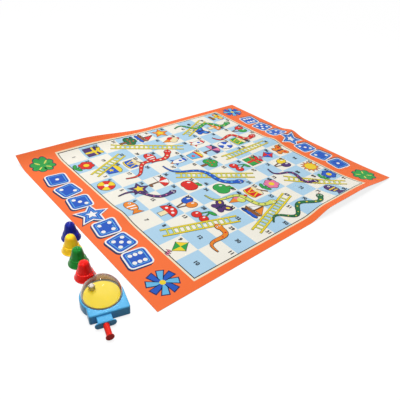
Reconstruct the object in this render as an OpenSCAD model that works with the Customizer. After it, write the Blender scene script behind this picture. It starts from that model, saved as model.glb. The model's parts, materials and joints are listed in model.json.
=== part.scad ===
// Floor-mat race game set: printed play mat, four cone pawns and a push-plunger dice popper.
// Millimetres, +Z up. The origin is on the underside of the mat, at its centre.
// +X runs along the first row of squares, +Y from the first row to the last row.

/* [Play mat] */
// Width of the mat, along the rows of squares
mat_w = 610; // [450:5:900]
// Length of the mat, across the rows of squares
mat_l = 762; // [560:2:1100]
// Thickness of the printed sheet
mat_t = 0.6; // [0.4:0.1:1.2]
// Height of the curl along the left edge
left_lift = 21; // [0:1:28]
// Width of the strip that curls up along the left edge
left_curl = 60; // [40:5:120]
// Height of the wave along the right edge
right_lift = 18; // [0:1:24]
// Width of the strip that waves along the right edge
right_curl = 120; // [60:5:200]
// Height of the fold line at the far edge
fold_far = 10; // [0:1:16]
// Height of the fold line beside the first row
fold_near = 6; // [0:1:12]
// Half width of the fold line
fold_w = 28; // [20:1:50]

/* [Pawns] */
// Radius of the pawn's foot
pawn_r = 19.4; // [17:0.1:24]
// Height of the pawn
pawn_h = 38; // [32:0.1:50]
// Radius of the pawn's rounded top
pawn_top_r = 10.2; // [7:0.1:12]
// Radius of the cone where it stands on the ledge
pawn_cone_r = 13.5; // [12.5:0.1:15]
// Height of the flared skirt below the ledge
pawn_skirt_h = 13.7; // [8:0.1:18]
// Width of the ledge above the skirt
pawn_ledge = 1.3; // [0.4:0.1:2]
// How far the lip at the bottom stands out
pawn_lip = 1; // [0.4:0.1:1.4]
// Height of the lip at the bottom
pawn_lip_h = 1.6; // [0.8:0.1:3]
// Wall of the hollow pawn
pawn_wall = 1.6; // [1:0.1:2.5]
// Gap between the mat and the first pawn
mat_gap = 5.9; // [2:0.1:30]

/* [Popper housing] */
// Outer radius of the clear dome
dome_r = 34.5; // [28:0.5:45]
// Wall of the dome
dome_wall = 1.2; // [0.8:0.1:2]
// Width of the deck outside the dome
deck_rim = 2.8; // [2.6:0.1:6]
// Height of the deck above the table
body_h = 18; // [17:0.5:26]
// Wall of the housing
wall = 2; // [1.4:0.1:3]
// Thickness of the deck round the tumble plate
deck_t = 3; // [2.4:0.1:4]
// Depth of the groove that holds the dome
groove_h = 1.5; // [1:0.1:2]
// How far the flat front stands out beyond the round body
front_step = 4.6; // [1:0.1:8]
// How far the right side of the front steps in from the round body
right_step = 6.6; // [3:0.2:10]
// Round of the housing's upper edges
edge_r = 2.4; // [1:0.1:2.4]
// Thickness of the base plate
base_t = 2; // [1.5:0.1:2.6]

/* [Plunger] */
// Radius of the plunger rod
rod_r = 5; // [3.6:0.1:5.2]
// Sideways offset of the rod from the middle of the popper
rod_y = -7.25; // [-8:0.25:-6.75]
// Length of rod showing in front of the finger flange
rod_show = 21; // [18:0.5:32]
// Room between the thumb head and the table
head_ground = 0.3; // [0.1:0.1:1.5]
// Length of the flared thumb head
head_l = 5; // [4:0.5:8]
// Travel of the plunger
travel = 14; // [8:0.5:16]
// Length of the neck between the housing and the finger flange
neck_l = 11.6; // [8:0.1:18]
// Width of the neck
neck_w = 24; // [20:0.5:30]
// Width of the finger flange
flange_w = 35.4; // [30:0.2:46]
// Thickness of the finger flange
flange_t = 2.4; // [2:0.1:5]

/* [Tumble plate and die] */
// Thickness of the tumble plate
plate_t = 1.5; // [1:0.1:2.5]
// How far the tumble plate stands above the deck at rest
plate_proud = 0.3; // [0.1:0.1:1]
// Lift of the tumble plate at full plunger travel
lift = 3; // [1:0.1:4]
// Radius of the plate's guide stem
stem_r = 2.5; // [2:0.1:3]
// Edge of the die
die_s = 9; // [6:0.5:10]

/* [Return spring] */
// Outer radius of the spring
spring_r = 2.3; // [1.9:0.1:2.4]
// Radius of the spring wire
wire_r = 0.25; // [0.2:0.05:0.3]
// Number of curls
curls = 12; // [8:1:14]

/* [Hidden] */
$fn = 96;

// Clearances
run_gap = 0.05;
slide_gap = 0.1;
seat_gap = 0.15;
plate_gap = 0.5;
cut = 1;

// Mat: cells of its mesh and the places of its waves, measured from the near edge
mat_cells = [24, 22];
left_hold = 166;
left_fade = 235;
right_start = 416;
right_rise = 75;
right_end = 612;
right_fall = 150;
right_left_over = 0.2;
fold_near_at = 97;
fold_near_l = 60;
fold_far_l = 282;
fold_near_x = 40;
fold_far_x = -31;

// Row of pieces in front of the mat: gaps between them and the way that each step of the row heads
first_pawn_x = 44.7;
row_gaps = [0.4, 1.8, 1.3];
row_turns = [-24.6, -8.9, -10.5];
popper_gap = 13.75;
popper_turn = -4.3;
popper_yaw = -16.1;

function heading(a) = [cos(a), sin(a)];
function pawn_at(i) = i == 0
    ? [first_pawn_x, -mat_l / 2 - mat_gap - pawn_r]
    : pawn_at(i - 1) + (2 * pawn_r + row_gaps[i - 1]) * heading(row_turns[i - 1]);

// Popper: the round body's axis is its own origin, +X points along the plunger
body_r = dome_r + deck_rim;
inner_r = body_r - wall;
popper_at = pawn_at(len(row_gaps)) + (pawn_r + body_r + popper_gap) * heading(popper_turn);
front_x = body_r + front_step;
block_left = body_r;
block_right = -(body_r - right_step);
corner_r = 4;
groove_gap = 0.1;
dome_in_r = dome_r - dome_wall;
plate_inset = 2.2;
plate_r = dome_in_r - plate_inset;
plate_top = body_h + plate_proud;
plate_low = plate_top - plate_t;

// Rod, neck and flange
floor_gap = 0.3;
neck_roof = 2;
flange_ground = 0.8;
rod_z = base_t + floor_gap + rod_r;
flange_x = front_x + neck_l;
flange_front = flange_x + flange_t;
flange_h = 2 * (rod_z - flange_ground);
flange_edge = flange_t / 3;
neck_top = rod_z + rod_r + neck_roof;
neck_wall = 1.5;
head_x = flange_front + rod_show;
head_r = rod_z - head_ground;

// Wedge slide: two arms, each with two ramps that lift the plate's four feet
bar_t = 4;
bar_x = front_x - wall - slide_gap - bar_t;
bar_top = rod_z + rod_r;
arm_y = 12.5;
arm_w = 3;
slide_low = base_t + slide_gap;
ramp_toe = 1.1;
ramp_low = slide_low + ramp_toe;
foot_l = 3.7;
foot_gap = 0.3;
foot_x = 9;
slope = lift / travel;
ramp_l = travel + foot_l + foot_gap;
ramp_high = ramp_low + slope * ramp_l;
ramp_starts = [-foot_x - foot_l / 2, foot_x - foot_l / 2 - foot_gap];
spigot_r = 2.6;
nose_r = 1.6;
nose_l = 5;
pin_r = 0.8;

// Guide rails, spring stop and guide sleeve of the base plate
rail_w = 1.5;
rail_h = 3.5;
stop_x = 4.8;
stop_t = 1.6;
sleeve_r = 4.6;
screw_head_low = 0.6;
screw_head_r = 2.8;
screw_head_t = 1.5;
stem_low = screw_head_low + screw_head_t;
pocket_r = 3.3;
pocket_h = stem_low + lift + foot_gap;
plate_boss_h = 2.2;
sleeve_top = plate_low - plate_boss_h - plate_gap;
plate_screw_r = 0.9;
plate_screw_l = 6;

// Screws that hold the base plate to the bosses of the housing
boss_r = 2.8;
boss_sink = 0.3;
case_screw_r = 1.1;
case_head_r = 2.2;
case_head_t = 1;
case_screw_l = 8;
boss_in = wall + boss_r - boss_sink;
bosses = [[-(body_r - boss_in), 0],
          [front_x - boss_in, block_left - boss_in],
          [front_x - boss_in, block_right + boss_in]];

// Die: place on the plate, and the turn that faces one of its edges forward
die_margin = 3.24;
die_from = 216.9;
die_turn = 36.7;
die_at = (plate_r - die_s / sqrt(2) - die_margin) * heading(die_from);
pip_r = die_s * 0.1;
pip_step = die_s * 0.25;

// Spring: from the stop on the base plate to the end of the rod's spigot
spring_start = stop_x + stop_t + wire_r + slide_gap;
spring_end = bar_x - wire_r - slide_gap;
spring_mean_r = spring_r - wire_r;
curl_rings = 8;
wire_sides = 6;
spring_rings = curls * curl_rings;

// Smooth steps used by the mat
function clamp01(t) = min(1, max(0, t));
function ease(t) = let (u = clamp01(t)) u * u * (3 - 2 * u);
function hump(t) = exp(-t * t);

// Height of the mat's underside above the floor, at u from the left edge and v from the near edge
function left_z(u, v) = left_lift * pow(clamp01(1 - u / left_curl), 2)
    * (1 - ease((v - left_hold) / left_fade));
function right_z(u, v) = right_lift * pow(clamp01(1 - (mat_w - u) / right_curl), 2)
    * ease((v - right_start) / right_rise)
    * (1 - (1 - right_left_over) * ease((v - right_end) / right_fall));
function fold_x(v) = fold_near_x
    + (fold_far_x - fold_near_x) * (v - fold_near_at) / (mat_l - fold_near_at);
function fold_h(v) = fold_far * ease((v - mat_l + fold_far_l) / fold_far_l)
    + fold_near * ease(1 - abs(v - fold_near_at) / fold_near_l);
function fold_z(u, v) = fold_h(v) * hump((u - mat_w / 2 - fold_x(v)) / fold_w);
function mat_z(u, v) = left_z(u, v) + right_z(u, v) + fold_z(u, v);

// Printed sheet with a curled left edge, a waved right edge and the fold line left from its storage
module play_mat() {
    nx = mat_cells[0];
    ny = mat_cells[1];
    count = (nx + 1) * (ny + 1);
    points = [for (up = [1, 0]) for (i = [0 : nx]) for (j = [0 : ny])
        let (u = mat_w * i / nx, v = mat_l * j / ny)
        [u - mat_w / 2, v - mat_l / 2, mat_z(u, v) + up * mat_t]];
    function at(i, j) = i * (ny + 1) + j;
    function strip(a, b) = [[a, b, b + count], [a, b + count, a + count]];
    cells = [for (i = [0 : nx - 1]) for (j = [0 : ny - 1])
        [at(i, j), at(i + 1, j), at(i + 1, j + 1), at(i, j + 1)]];
    upper = [for (c = cells) each [[c[0], c[2], c[1]], [c[0], c[3], c[2]]]];
    under = [for (f = upper) [f[0] + count, f[2] + count, f[1] + count]];
    near_far = [for (i = [0 : nx - 1]) each concat(strip(at(i, 0), at(i + 1, 0)),
                                                   strip(at(i + 1, ny), at(i, ny)))];
    sides = [for (j = [0 : ny - 1]) each concat(strip(at(0, j + 1), at(0, j)),
                                                strip(at(nx, j), at(nx, j + 1)))];
    color("coral") polyhedron(points, concat(upper, under, near_far, sides), convexity = 6);
}

// Half outline of a pawn's cone and rounded top, drawn in by d from its outside
function top_turn(top_r, foot_r) =
    let (dz = pawn_skirt_h - (pawn_h - pawn_top_r))
    atan2(dz, foot_r) + acos(top_r / norm([foot_r, dz]));
function pawn_cone(d) =
    let (foot_r = pawn_cone_r - d, top_r = pawn_top_r - d, turn = top_turn(top_r, foot_r), steps = 16)
    concat([[foot_r, pawn_skirt_h]],
           [for (k = [0 : steps]) let (a = turn + (90 - turn) * k / steps)
               [top_r * cos(a), pawn_h - pawn_top_r + top_r * sin(a)]]);

// Hollow cone with a rounded top, standing on the ledge of a flared skirt with a lip
module pawn(i) {
    skirt_r = pawn_r - pawn_lip;
    ledge_r = pawn_cone_r + pawn_ledge;
    outside = concat([[pawn_r, 0], [pawn_r, pawn_lip_h], [skirt_r, pawn_lip_h], [ledge_r, pawn_skirt_h]],
                     pawn_cone(0));
    inside = concat([[skirt_r - pawn_wall, 0], [ledge_r - pawn_wall, pawn_skirt_h - pawn_wall]],
                    pawn_cone(pawn_wall));
    back = [for (k = [len(inside) - 1 : -1 : 0]) inside[k]];
    translate(pawn_at(i)) rotate_extrude() polygon(concat(outside, back));
}

module pawn_blue() { color("mediumblue") pawn(0); }
module pawn_yellow() { color("gold") pawn(1); }
module pawn_green() { color("forestgreen") pawn(2); }
module pawn_red() { color("red") pawn(3); }

// Puts a piece of the popper in its place in front of the mat
module in_popper() {
    translate(popper_at) rotate(popper_yaw) children();
}

// Lays a piece that is drawn along +Z on the axis of the rod, from x onwards
module on_rod(x) {
    translate([x, rod_y, rod_z]) rotate([0, 90, 0]) children();
}

// Upright post of radius r whose upper edge is rounded
module round_post(r, h, round_r) {
    steps = 8;
    rounding = [for (k = [0 : steps]) let (a = 90 * k / steps)
        [r - round_r + round_r * cos(a), h - round_r + round_r * sin(a)]];
    rotate_extrude() polygon(concat([[0, 0], [r, 0]], rounding, [[0, h]]));
}

// Outside of the housing: a round body with a squared front
module housing_outside() {
    round_post(body_r, body_h, edge_r);
    hull() {
        for (x = [corner_r, front_x - corner_r]) {
            for (y = [block_right + corner_r, block_left - corner_r]) {
                translate([x, y, 0]) round_post(corner_r, body_h, edge_r, $fn = 32);
            }
        }
    }
}

// Outline of the space inside the housing's walls, drawn in further by d
module inside_outline(d) {
    circle(inner_r - d);
    translate([0, block_right + wall + d]) {
        square([front_x - wall - d, block_left - block_right - 2 * (wall + d)]);
    }
}

// Finger flange: a stadium with rounded edges
module flange() {
    half = flange_h / 2;
    hull() {
        for (y = [-1, 1] * (flange_w / 2 - half)) {
            translate([0, y, 0]) on_rod(flange_x) {
                cylinder(r = half - flange_edge, h = flange_t, $fn = 32);
                translate([0, 0, flange_edge]) {
                    cylinder(r = half, h = flange_t - 2 * flange_edge, $fn = 32);
                }
            }
        }
    }
}

// Neck that carries the rod, cored from below on both sides of its bore
module neck() {
    side_w = (neck_w - 2 * rod_r) / 2 - 2 * neck_wall;
    difference() {
        translate([front_x - wall, rod_y - neck_w / 2, flange_ground]) {
            cube([neck_l + wall + flange_edge, neck_w, neck_top - flange_ground]);
        }
        for (y = [rod_y - neck_w / 2 + neck_wall, rod_y + neck_w / 2 - neck_wall - side_w]) {
            translate([front_x + neck_wall, y, flange_ground - cut]) {
                cube([neck_l - 2 * neck_wall, side_w, neck_top - flange_ground - neck_wall + cut]);
            }
        }
    }
}

module housing() {
    color("deepskyblue") in_popper() difference() {
        union() {
            difference() {
                housing_outside();
                translate([0, 0, -cut]) {
                    linear_extrude(body_h - deck_t + cut) inside_outline(0);
                }
                cylinder(r = plate_r + plate_gap, h = body_h + cut);
                translate([0, 0, body_h - groove_h]) difference() {
                    cylinder(r = dome_r + groove_gap, h = groove_h + cut);
                    cylinder(r = dome_in_r - groove_gap, h = groove_h + cut);
                }
            }
            for (b = bosses) {
                translate([b[0], b[1], base_t]) cylinder(r = boss_r, h = body_h - deck_t - base_t + cut / 2);
            }
            neck();
            flange();
        }
        for (b = bosses) {
            translate([b[0], b[1], 0]) cylinder(r = case_screw_r + run_gap, h = base_t + case_screw_l);
        }
        on_rod(front_x - wall - cut) cylinder(r = rod_r + run_gap, h = wall + neck_l + flange_t + 2 * cut);
    }
}

// Lower cover with the rails of the wedge slide, the spring stop and the plate's guide sleeve
module base_plate() {
    rail_x = [ramp_starts[0] - travel - foot_gap, bar_x - cut];
    rail_y = arm_y + arm_w / 2 + slide_gap;
    color("steelblue") in_popper() difference() {
        union() {
            linear_extrude(base_t) inside_outline(seat_gap);
            cylinder(r = sleeve_r, h = sleeve_top);
            for (side = [0, 1]) mirror([0, side, 0]) {
                translate([rail_x[0], rail_y, 0]) {
                    cube([rail_x[1] - rail_x[0], rail_w, base_t + rail_h]);
                }
            }
            translate([stop_x, rod_y - spring_r - wire_r, 0]) {
                cube([stop_t, 2 * (spring_r + wire_r), rod_z + spring_r]);
            }
        }
        translate([0, 0, -cut]) cylinder(r = pocket_r, h = pocket_h + cut);
        cylinder(r = stem_r + run_gap, h = sleeve_top + cut);
        for (b = bosses) translate([b[0], b[1], 0]) {
            translate([0, 0, -cut]) cylinder(r = case_head_r + seat_gap, h = case_head_t + cut);
            cylinder(r = case_screw_r + seat_gap, h = base_t + cut);
        }
    }
}

// Screw with a flat head below a plain shank
module screw(head_radius, head_h, shank_r, shank_l) {
    cylinder(r = head_radius, h = head_h);
    cylinder(r = shank_r, h = head_h + shank_l);
}

module base_screws() {
    color("silver") in_popper() for (b = bosses) {
        translate([b[0], b[1], 0]) {
            screw(case_head_r, case_head_t, case_screw_r, case_screw_l - cut);
        }
    }
}

// Clear half sphere with a rim that stands in the groove of the deck
module dome() {
    color("lightcyan", 0.4) in_popper() translate([0, 0, body_h]) difference() {
        union() {
            intersection() {
                sphere(dome_r);
                cylinder(r = dome_r + cut, h = dome_r + cut);
            }
            translate([0, 0, -groove_h]) cylinder(r = dome_r, h = groove_h);
        }
        sphere(dome_in_r);
        translate([0, 0, -groove_h - cut]) cylinder(r = dome_in_r, h = groove_h + cut);
    }
}

// One foot of the tumble plate, cut below to the slope of its ramp
module plate_foot(x, y, ramp_start) {
    foot_z = ramp_low + slope * (x - ramp_start) + slide_gap;
    translate([x, y + arm_w / 2, 0]) rotate([90, 0, 0]) linear_extrude(arm_w) {
        polygon([[0, foot_z], [foot_l, foot_z + slope * foot_l], [foot_l, plate_low + cut / 2],
                 [0, plate_low + cut / 2]]);
    }
}

// Disc that throws the die, with a guide stem, two stiffening ribs and four feet below
module tumble_plate() {
    rib_t = 1.4;
    rib_h = 3;
    edge = 0.4;
    foot_starts = [ramp_starts[0], ramp_starts[1] + foot_gap];
    color("khaki") in_popper() difference() {
        union() {
            translate([0, 0, plate_low]) cylinder(r = plate_r, h = plate_t - edge);
            translate([0, 0, plate_top - edge]) cylinder(r1 = plate_r, r2 = plate_r - edge, h = edge);
            translate([0, 0, plate_low - plate_boss_h]) cylinder(r = sleeve_r, h = plate_boss_h + cut / 2);
            translate([0, 0, stem_low]) cylinder(r = stem_r, h = plate_low - stem_low + cut / 2);
            for (y = [-arm_y, arm_y]) {
                for (k = [0, 1]) plate_foot(foot_starts[k], y, ramp_starts[k]);
                translate([foot_starts[0], y - rib_t / 2, plate_low - rib_h]) {
                    cube([foot_starts[1] + foot_l - foot_starts[0], rib_t, rib_h + cut / 2]);
                }
            }
        }
        translate([0, 0, stem_low - cut]) cylinder(r = plate_screw_r + run_gap, h = plate_screw_l + cut);
    }
}

// Keeps the stem of the tumble plate in its sleeve
module plate_screw() {
    color("silver") in_popper() translate([0, 0, screw_head_low]) {
        screw(screw_head_r, screw_head_t, plate_screw_r, plate_screw_l - cut);
    }
}

// Thumb plunger: a rod with a flared head, and a spigot that carries the slide and the spring
module plunger() {
    shoulder_x = bar_x + bar_t;
    rim_t = 1.2;
    dish = 0.8;
    steps = 8;
    flare = [for (k = [0 : steps]) let (a = 90 * k / steps)
        [rod_r + (head_r - rod_r) * (1 - cos(a)), head_x + (head_l - rim_t) * sin(a)]];
    profile = concat([[0, bar_x - nose_l], [nose_r, bar_x - nose_l], [nose_r, bar_x], [spigot_r, bar_x],
                      [spigot_r, shoulder_x], [rod_r, shoulder_x]],
                     flare,
                     [[head_r, head_x + head_l], [head_r - rim_t, head_x + head_l], [0, head_x + head_l - dish]]);
    color("red") in_popper() difference() {
        on_rod(0) rotate_extrude() polygon(profile);
        pin_hole();
    }
}

// Cross hole of the pin that ties the plunger to its slide
module pin_hole() {
    translate([bar_x + bar_t / 2, rod_y, 0]) cylinder(r = pin_r + run_gap, h = bar_top + cut);
}

module slide_pin() {
    color("silver") in_popper() translate([bar_x + bar_t / 2, rod_y, slide_low + foot_gap]) {
        cylinder(r = pin_r, h = bar_top - slide_low - 2 * foot_gap);
    }
}

// Fork behind the plunger: a cross bar and two arms whose ramps lift the tumble plate
module wedge_slide() {
    ramps = [ramp_starts[0], ramp_starts[1]];
    arm = [[ramps[0], slide_low], [bar_x + bar_t, slide_low], [bar_x + bar_t, ramp_high],
           [ramps[1] + ramp_l, ramp_high], [ramps[1], ramp_low], [ramps[1], ramp_low + slope * (ramps[1] - ramps[0])],
           [ramps[0], ramp_low]];
    color("whitesmoke") in_popper() difference() {
        union() {
            for (y = [-arm_y, arm_y]) {
                translate([0, y + arm_w / 2, 0]) rotate([90, 0, 0]) linear_extrude(arm_w) polygon(arm);
            }
            translate([bar_x, -arm_y - arm_w / 2, slide_low]) {
                cube([bar_t, 2 * arm_y + arm_w, bar_top - slide_low]);
            }
        }
        on_rod(bar_x - cut) cylinder(r = spigot_r + run_gap, h = bar_t + 2 * cut);
        pin_hole();
    }
}

// Middle of the spring's wire at ring k, drawn along +Z
function curl_at(k) = [spring_mean_r * cos(360 * k / curl_rings), spring_mean_r * sin(360 * k / curl_rings),
                       spring_start + (spring_end - spring_start) * k / spring_rings];
function wire_at(k, s) =
    let (turn = 360 * k / curl_rings, around = 360 * s / wire_sides)
    curl_at(k) + wire_r * [cos(around) * cos(turn), cos(around) * sin(turn), sin(around)];
spring_least_gap = min([for (k = [0 : spring_rings - curl_rings - 3]) for (n = [-2 : 2])
    norm(curl_at(k + curl_rings + n) - curl_at(k))]) - 2 * wire_r;
echo(spring_least_gap = spring_least_gap);

// Compression spring that brings the plunger back out
module return_spring() {
    points = [for (k = [0 : spring_rings]) for (s = [0 : wire_sides - 1]) wire_at(k, s)];
    function at(k, s) = k * wire_sides + s % wire_sides;
    tube = [for (k = [0 : spring_rings - 1]) for (s = [0 : wire_sides - 1])
        each [[at(k, s), at(k + 1, s), at(k + 1, s + 1)], [at(k, s), at(k + 1, s + 1), at(k, s + 1)]]];
    ends = [for (s = [1 : wire_sides - 2])
        each [[at(0, 0), at(0, s), at(0, s + 1)],
              [at(spring_rings, 0), at(spring_rings, s + 1), at(spring_rings, s)]]];
    color("gray") in_popper() on_rod(0) polyhedron(points, concat(tube, ends), convexity = 10);
}

// Places of the pips on a face of n, in steps from its middle
function pips(n) = concat(n % 2 == 1 ? [[0, 0]] : [],
                          n > 1 ? [[-1, -1], [1, 1]] : [],
                          n > 3 ? [[-1, 1], [1, -1]] : [],
                          n == 6 ? [[-1, 0], [1, 0]] : []);

// Rounded cube with dished pips; opposite faces add up to seven
module die() {
    faces = [[0, 0, 0], [90, 0, 0], [0, 90, 0], [0, -90, 0], [-90, 0, 0], [180, 0, 0]];
    values = [2, 1, 3, 4, 6, 5];
    corner_cut = 0.74;
    color("white") in_popper() translate([die_at[0], die_at[1], plate_top + die_s / 2]) rotate(die_turn) {
        difference() {
            intersection() {
                cube(die_s, center = true);
                sphere(die_s * corner_cut);
            }
            for (k = [0 : 5]) rotate(faces[k]) for (p = pips(values[k])) {
                translate([p[0] * pip_step, p[1] * pip_step, die_s / 2 + pip_r / 2]) sphere(pip_r, $fn = 32);
            }
        }
    }
}

play_mat();
pawn_blue();
pawn_yellow();
pawn_green();
pawn_red();
housing();
base_plate();
base_screws();
dome();
tumble_plate();
plate_screw();
plunger();
wedge_slide();
slide_pin();
return_spring();
die();
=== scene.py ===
import json
import math

import bmesh
import bpy
from mathutils import Matrix, Vector


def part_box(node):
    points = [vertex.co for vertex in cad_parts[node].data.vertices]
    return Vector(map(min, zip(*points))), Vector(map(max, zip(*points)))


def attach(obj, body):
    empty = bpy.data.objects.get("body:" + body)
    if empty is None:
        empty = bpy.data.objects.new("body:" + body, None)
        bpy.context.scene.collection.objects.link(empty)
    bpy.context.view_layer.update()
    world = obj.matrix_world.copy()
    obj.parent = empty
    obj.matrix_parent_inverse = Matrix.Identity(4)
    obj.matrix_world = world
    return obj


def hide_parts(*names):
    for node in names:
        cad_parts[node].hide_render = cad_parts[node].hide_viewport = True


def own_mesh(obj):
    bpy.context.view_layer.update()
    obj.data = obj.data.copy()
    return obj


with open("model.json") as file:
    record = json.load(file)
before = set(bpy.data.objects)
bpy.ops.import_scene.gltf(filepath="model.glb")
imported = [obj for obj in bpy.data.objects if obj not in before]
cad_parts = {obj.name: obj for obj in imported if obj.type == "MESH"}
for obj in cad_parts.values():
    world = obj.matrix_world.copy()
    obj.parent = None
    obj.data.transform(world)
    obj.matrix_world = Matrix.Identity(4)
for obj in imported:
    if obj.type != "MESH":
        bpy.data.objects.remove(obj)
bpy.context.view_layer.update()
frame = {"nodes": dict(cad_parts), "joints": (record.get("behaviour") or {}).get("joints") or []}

MM = 0.001
TINY = 1e-6

# Camera of the photograph: place, directions, lens and width of its sensor in millimetres
CAMERA_AT = Vector((0.692674, -0.666617, 0.553045))
CAMERA_RIGHT = Vector((0.6470255, 0.7595516, 0.0666287))
CAMERA_FORWARD = Vector((-0.6069762, 0.5659919, -0.5578826))
CAMERA_LENS = 38.1
SENSOR_W = 36

# Light: the wide lamp, the surround, the lamps of the highlights, the soft lamp of the pawns, the floor
KEY = 1.35
KEY_TOWARD = Vector((0.25, -0.15, -1.0))
KEY_ANGLE = 40
SURROUND = 0.2
LAMP = 3.2
LAMP_SIZE = 0.18
LAMP_REACH = 1.6
LAMPS = [Vector((-0.5, -0.3, 0.82)), Vector((-0.05, 0.18, 0.98)), Vector((-0.66, 0.34, 0.67))]
PAWN_LAMP = 9.4
PAWN_LAMP_SIZE = 0.5
PAWN_LAMP_REACH = 1.2
PAWN_LAMP_HEADING = Vector((0.28, -0.58, 0.98))
FLOOR_SIZE = 12
FLOOR_DROP = 0.2 * MM
FLOOR_GLOW = 0.83

# Finishes
WHITE = (1.0, 1.0, 1.0, 1.0)
PLASTIC_GLOSS = 0.15
HIGHLIGHT_WHITE = 0.3
GLOW_DEPTH = 3 * MM
PRINT_GLOSS = 0.2
WEAVE = 5200.0

# Play mat: its waves repeat the shape of the CAD sheet
mat_low, mat_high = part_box("play_mat")
MAT_W = mat_high.x - mat_low.x
MAT_L = mat_high.y - mat_low.y
MAT_T = 0.6 * MM
MAT_CELL = 5 * MM
LEFT_LIFT = 21 * MM
LEFT_CURL = 60 * MM
LEFT_HOLD = 166 * MM
LEFT_FADE = 235 * MM
RIGHT_LIFT = 18 * MM
RIGHT_CURL = 120 * MM
RIGHT_START = 416 * MM
RIGHT_RISE = 75 * MM
RIGHT_END = 612 * MM
RIGHT_FALL = 150 * MM
RIGHT_LEFT_OVER = 0.2
FOLD_FAR = 10 * MM
FOLD_FAR_L = 282 * MM
FOLD_FAR_X = -31 * MM
FOLD_NEAR = 6 * MM
FOLD_NEAR_AT = 97 * MM
FOLD_NEAR_L = 60 * MM
FOLD_NEAR_X = 40 * MM
FOLD_W = 28 * MM
FOLD_REACH = 2.2
BACK_FACING = -0.3

# Print on the mat, in millimetres of the sheet
SIDE = 10
SQUARE = 56.0
FIELD = SIDE * SQUARE / 2
LINE_W = 2.2
FRAME_W = 4.6
BORDER_Y = (FIELD + LINE_W + FRAME_W + MAT_L / MM / 2) / 2
EDGE = 1.3

# Inks lie one layer over another and are cut into short stretches, so that they follow the waves
LIFT = 0.15
LAYER = 0.03
FOLLOW = 8.0
FOLLOW_CURVE = 3.0
LAYERS = {"picture": 0, "ladder": 14, "snake": 17, "number": 22}

# Pawns: their size and places come from the frame
PAWN_COLOURS = {"blue": "#0C1C8A", "yellow": "#FFC622", "green": "#127C27", "red": "#E0180F"}
PAWN_GLOSS = 0.4
PAWN_GLOW = 0.6
pawn_low, pawn_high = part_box("pawn_blue")
PAWN_R = (pawn_high.x - pawn_low.x) / 2
PAWN_H = pawn_high.z
PAWN_TOP_R = 10.2 * MM
PAWN_CONE_R = 13.5 * MM
PAWN_SKIRT_H = 13.7 * MM
PAWN_LEDGE = 1.3 * MM
PAWN_LIP = 1 * MM
PAWN_LIP_H = 1.6 * MM
PAWN_WALL = 1.6 * MM
PAWN_EDGE = 0.5 * MM

# Popper: the axis of its dome is its own origin, its +X points along the plunger
dome_low, dome_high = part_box("dome")
housing_low, housing_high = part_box("housing")
push = next(joint for joint in frame["joints"] if joint["name"] == "plunger_push")
PUSH_AXIS = Vector(push["axis"])
POPPER_YAW = math.atan2(-PUSH_AXIS.y, -PUSH_AXIS.x)
POPPER_AT = (dome_low + dome_high) / 2
POPPER = Matrix.Translation((POPPER_AT.x, POPPER_AT.y, 0)) @ Matrix.Rotation(POPPER_YAW, 4, "Z")
DOME_R = (dome_high.x - dome_low.x) / 2
DOME_WALL = 1.2 * MM
BODY_RIM = 2.8 * MM
BODY_R = DOME_R + BODY_RIM
BODY_H = housing_high.z
WALL = 2 * MM
DECK_T = 3 * MM
GROOVE_H = 1.5 * MM
GROOVE_GAP = 0.1 * MM
FRONT_DEPTH = 4.6 * MM
FRONT_X = BODY_R + FRONT_DEPTH
RIGHT_STEP = 6.6 * MM
CORNER_R = 4 * MM
EDGE_R = 2.4 * MM
DECK_RING = 1.7 * MM
PLATE_HOLE_R = DOME_R - DOME_WALL - DECK_RING
plunger_low, plunger_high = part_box("plunger")
ROD_R = 5 * MM
ROD_Y = -7.25 * MM
ROD_Z = (plunger_low.z + plunger_high.z) / 2
BORE_GAP = 0.05 * MM
FLANGE_GROUND = 0.8 * MM
NECK_L = 11.6 * MM
NECK_W = 24 * MM
NECK_TOP = ROD_Z + ROD_R + WALL
NECK_OVERLAP = 1 * MM
NECK_EDGE = 0.7 * MM
FLANGE_W = 35.4 * MM
FLANGE_T = 2.4 * MM
HEAD_R = (plunger_high.z - plunger_low.z) / 2
HEAD_L = 5 * MM
HEAD_RIM = 1.2 * MM
HEAD_DISH = 0.8 * MM
ROD_SHOW = 21 * MM
NOSE_R = 1.6 * MM
NOSE_L = 5 * MM
SPIGOT_R = 2.6 * MM
PLUNGER_EDGE = 0.4 * MM
BAR_T = 4 * MM
SLIDE_GAP = 0.1 * MM
BAR_X = FRONT_X - WALL - SLIDE_GAP - BAR_T


# Mesh helpers

def deselect():
    """Leaves nothing selected, so that the next operator acts on its own piece alone."""
    bpy.ops.object.select_all(action="DESELECT")


def take(piece):
    """Makes a piece the only selected one."""
    deselect()
    piece.select_set(True)
    bpy.context.view_layer.objects.active = piece


def named(name):
    """Names the object that was added last."""
    piece = bpy.context.object
    piece.name = name
    piece.data.name = name
    return piece


def open_mesh(piece):
    """Goes into edit mode on a piece and gives its mesh, with nothing selected."""
    take(piece)
    bpy.ops.object.mode_set(mode="EDIT")
    bpy.ops.mesh.select_all(action="DESELECT")
    form = bmesh.from_edit_mesh(piece.data)
    form.verts.ensure_lookup_table()
    return form


def close_mesh(piece):
    """Takes over the changes to an open mesh and leaves edit mode."""
    bmesh.update_edit_mesh(piece.data)
    bpy.ops.object.mode_set(mode="OBJECT")


def pick_edges(form, test):
    """Selects only the edges of an open mesh whose two ends pass a test."""
    bpy.ops.mesh.select_mode(type="EDGE")
    bpy.ops.mesh.select_all(action="DESELECT")
    for edge in form.edges:
        edge.select_set(all(test(vertex.co) for vertex in edge.verts))


def modify(piece, kind, **settings):
    """Adds a modifier with its settings and applies it."""
    take(piece)
    modifier = piece.modifiers.new(kind, kind)
    for name, value in settings.items():
        setattr(modifier, name, value)
    bpy.ops.object.modifier_apply(modifier=modifier.name)


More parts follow.
